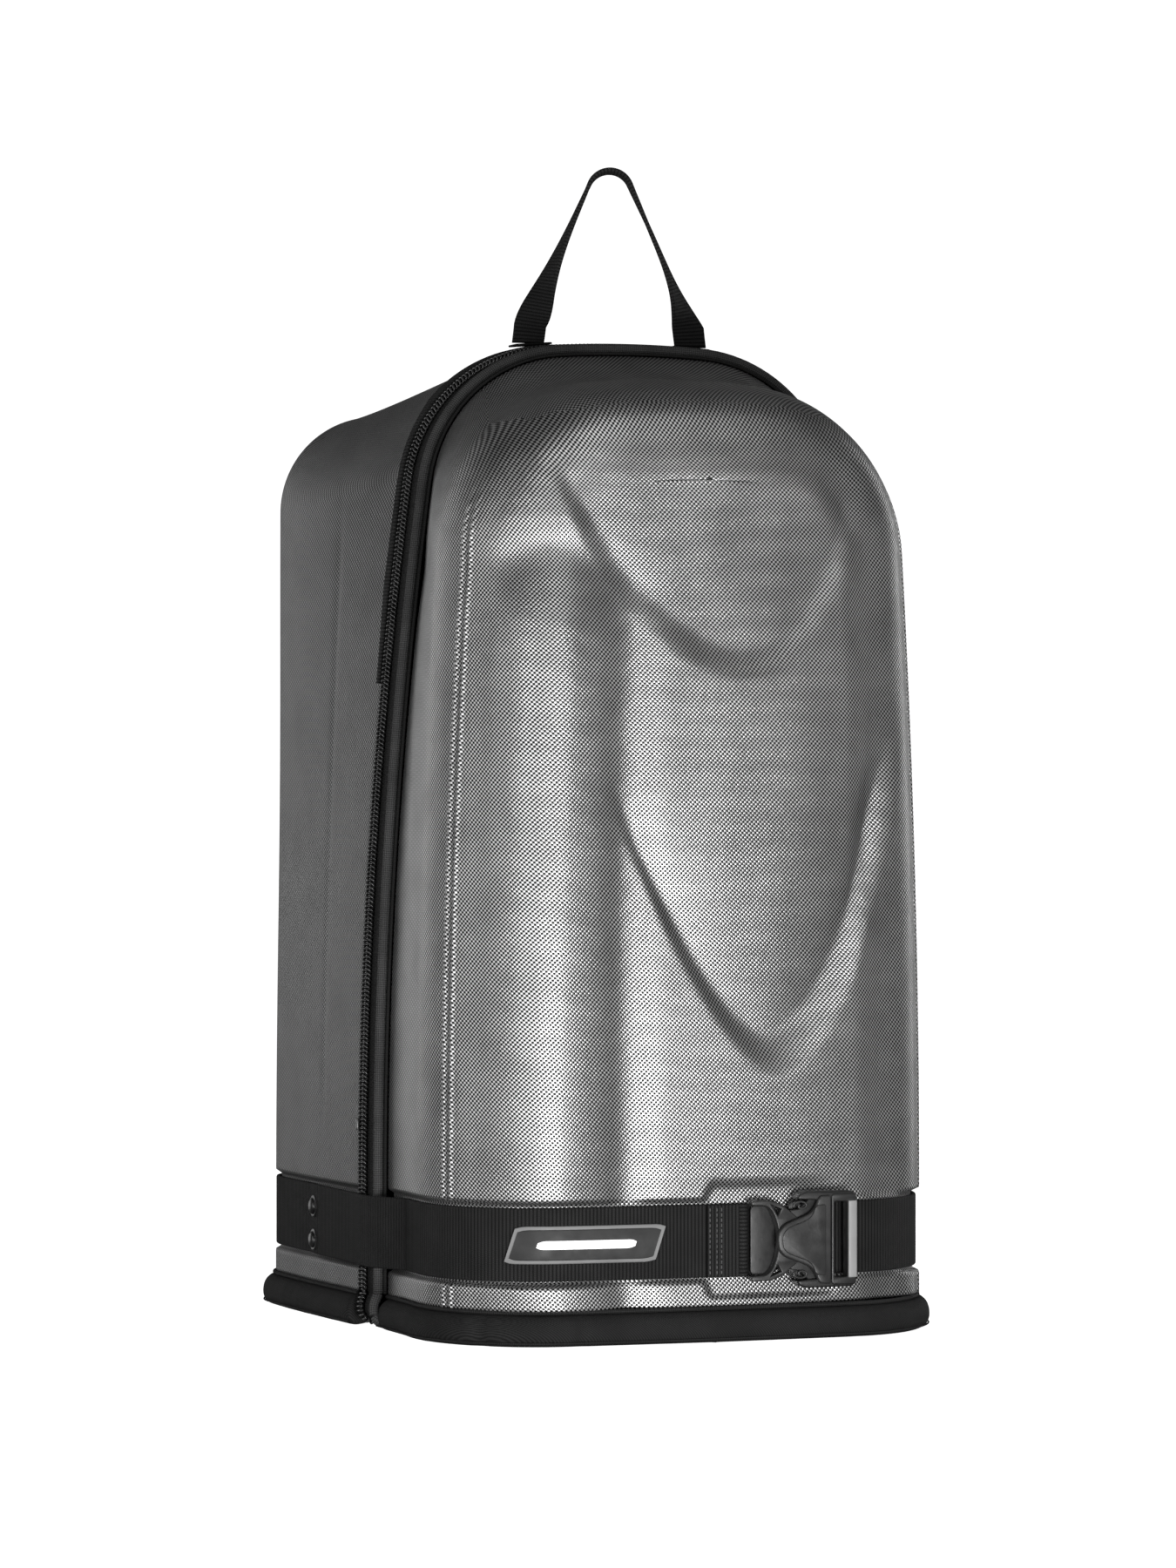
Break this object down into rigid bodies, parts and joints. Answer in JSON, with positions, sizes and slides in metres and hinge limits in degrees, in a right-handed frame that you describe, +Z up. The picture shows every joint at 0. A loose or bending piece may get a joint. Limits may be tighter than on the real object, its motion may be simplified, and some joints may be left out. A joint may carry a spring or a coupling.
{
  "type": "shoe bag",
  "caption": "Hard-shell zipped shoe case with a woven moulded skin, cinch strap with side-release buckle and top handle.",
  "frame": {"origin": "centre of the base on the surface that the case stands on", "axes": "+Z up, the sculpted front shell faces -Y, +X is to the right when facing the front"},
  "size_m": [0.209, 0.2246, 0.4108],
  "materials": {
    "shell_skin": "satin woven laminate",
    "lining": "brushed knit",
    "zip_tape": "herringbone tape",
    "zip_coil": "gloss coil",
    "piping": "braided cord",
    "piping_black": "braided cord",
    "webbing": "ribbed webbing",
    "base_fabric": "heavy twill",
    "board": "matte",
    "badge_rubber": "moulded",
    "buckle_plastic": "fine texture",
    "rivet_black": "black",
    "slider_metal": "gunmetal",
    "metal_trim": "plain"
  },
  "bodies": {
    "case_back": {"back_shell": "shell_skin", "back_lining": "lining", "zip_tape_back": "zip_tape", "zip_coil_back": "zip_coil", "zip_tails": "zip_tape", "zip_end_stops": "metal_trim", "top_band": "webbing", "handle_tabs": "webbing", "base_band_back": "base_fabric", "base_band_front": "base_fabric", "base_piping": "piping_black", "base_panel": "base_fabric", "base_board": "board", "base_lining": "lining", "hinge_strip": "base_fabric", "strap_rear": "webbing", "strap_rivets": "rivet_black", "rivet_washers": "metal_trim"},
    "case_front": {"front_shell": "shell_skin", "front_lining": "lining", "zip_tape_front": "zip_tape", "zip_coil_front": "zip_coil", "edge_piping": "piping"},
    "slider": {"zip_slider": "slider_metal"},
    "pull": {"zip_pull": "slider_metal"},
    "handle": {"handle_loop": "webbing"},
    "strap_left": {"strap_left": "webbing", "strap_badge": "badge_rubber", "buckle_male": "buckle_plastic"},
    "prong_upper": {"buckle_prong_upper": "buckle_plastic"},
    "prong_lower": {"buckle_prong_lower": "buckle_plastic"},
    "strap_right": {"strap_right": "webbing", "buckle_female": "buckle_plastic"}
  },
  "joints": [
    {"name": "shell_open", "type": "hinge", "parent": "case_back", "child": "case_front", "pos_m": [0, -0.1047, 0.0125], "axis": [1, 0, 0], "range_deg": [0, 90]},
    {"name": "strap_left_swing", "type": "hinge", "parent": "case_back", "child": "strap_left", "pos_m": [-0.0984, 0.0273, 0.0345], "axis": [0, 0, 1], "range_deg": [-135, 0]},
    {"name": "strap_right_swing", "type": "hinge", "parent": "case_back", "child": "strap_right", "pos_m": [0.0984, 0.0273, 0.0345], "axis": [0, 0, 1], "range_deg": [0, 135]},
    {"name": "slider_travel", "type": "hinge", "parent": "case_back", "child": "slider", "pos_m": [-1.7625, -0.0107, 0.05], "axis": [0, -1, 0], "range_deg": [0, 6.3]},
    {"name": "pull_swing", "type": "hinge", "parent": "slider", "child": "pull", "pos_m": [0.10016, -0.0107, 0.08], "axis": [0, -1, 0], "range_deg": [0, 150]},
    {"name": "handle_flop", "type": "hinge", "parent": "case_back", "child": "handle", "pos_m": [0, -0.0021, 0.34906], "axis": [1, 0, 0], "range_deg": [-75, 75]},
    {"name": "prong_upper_press", "type": "hinge", "parent": "strap_left", "child": "prong_upper", "pos_m": [0.0264, -0.10767, 0.04305], "axis": [0, 1, 0], "range_deg": [0, 12], "stiffness_Nm_per_rad": 0.05},
    {"name": "prong_lower_press", "type": "hinge", "parent": "strap_left", "child": "prong_lower", "pos_m": [0.0264, -0.10767, 0.02595], "axis": [0, -1, 0], "range_deg": [0, 12], "stiffness_Nm_per_rad": 0.05}
  ],
  "couplings": [
    {"joint": "strap_left_swing", "follows": "shell_open", "ratio": -1.5},
    {"joint": "strap_right_swing", "follows": "shell_open", "ratio": 1.5}
  ]
}
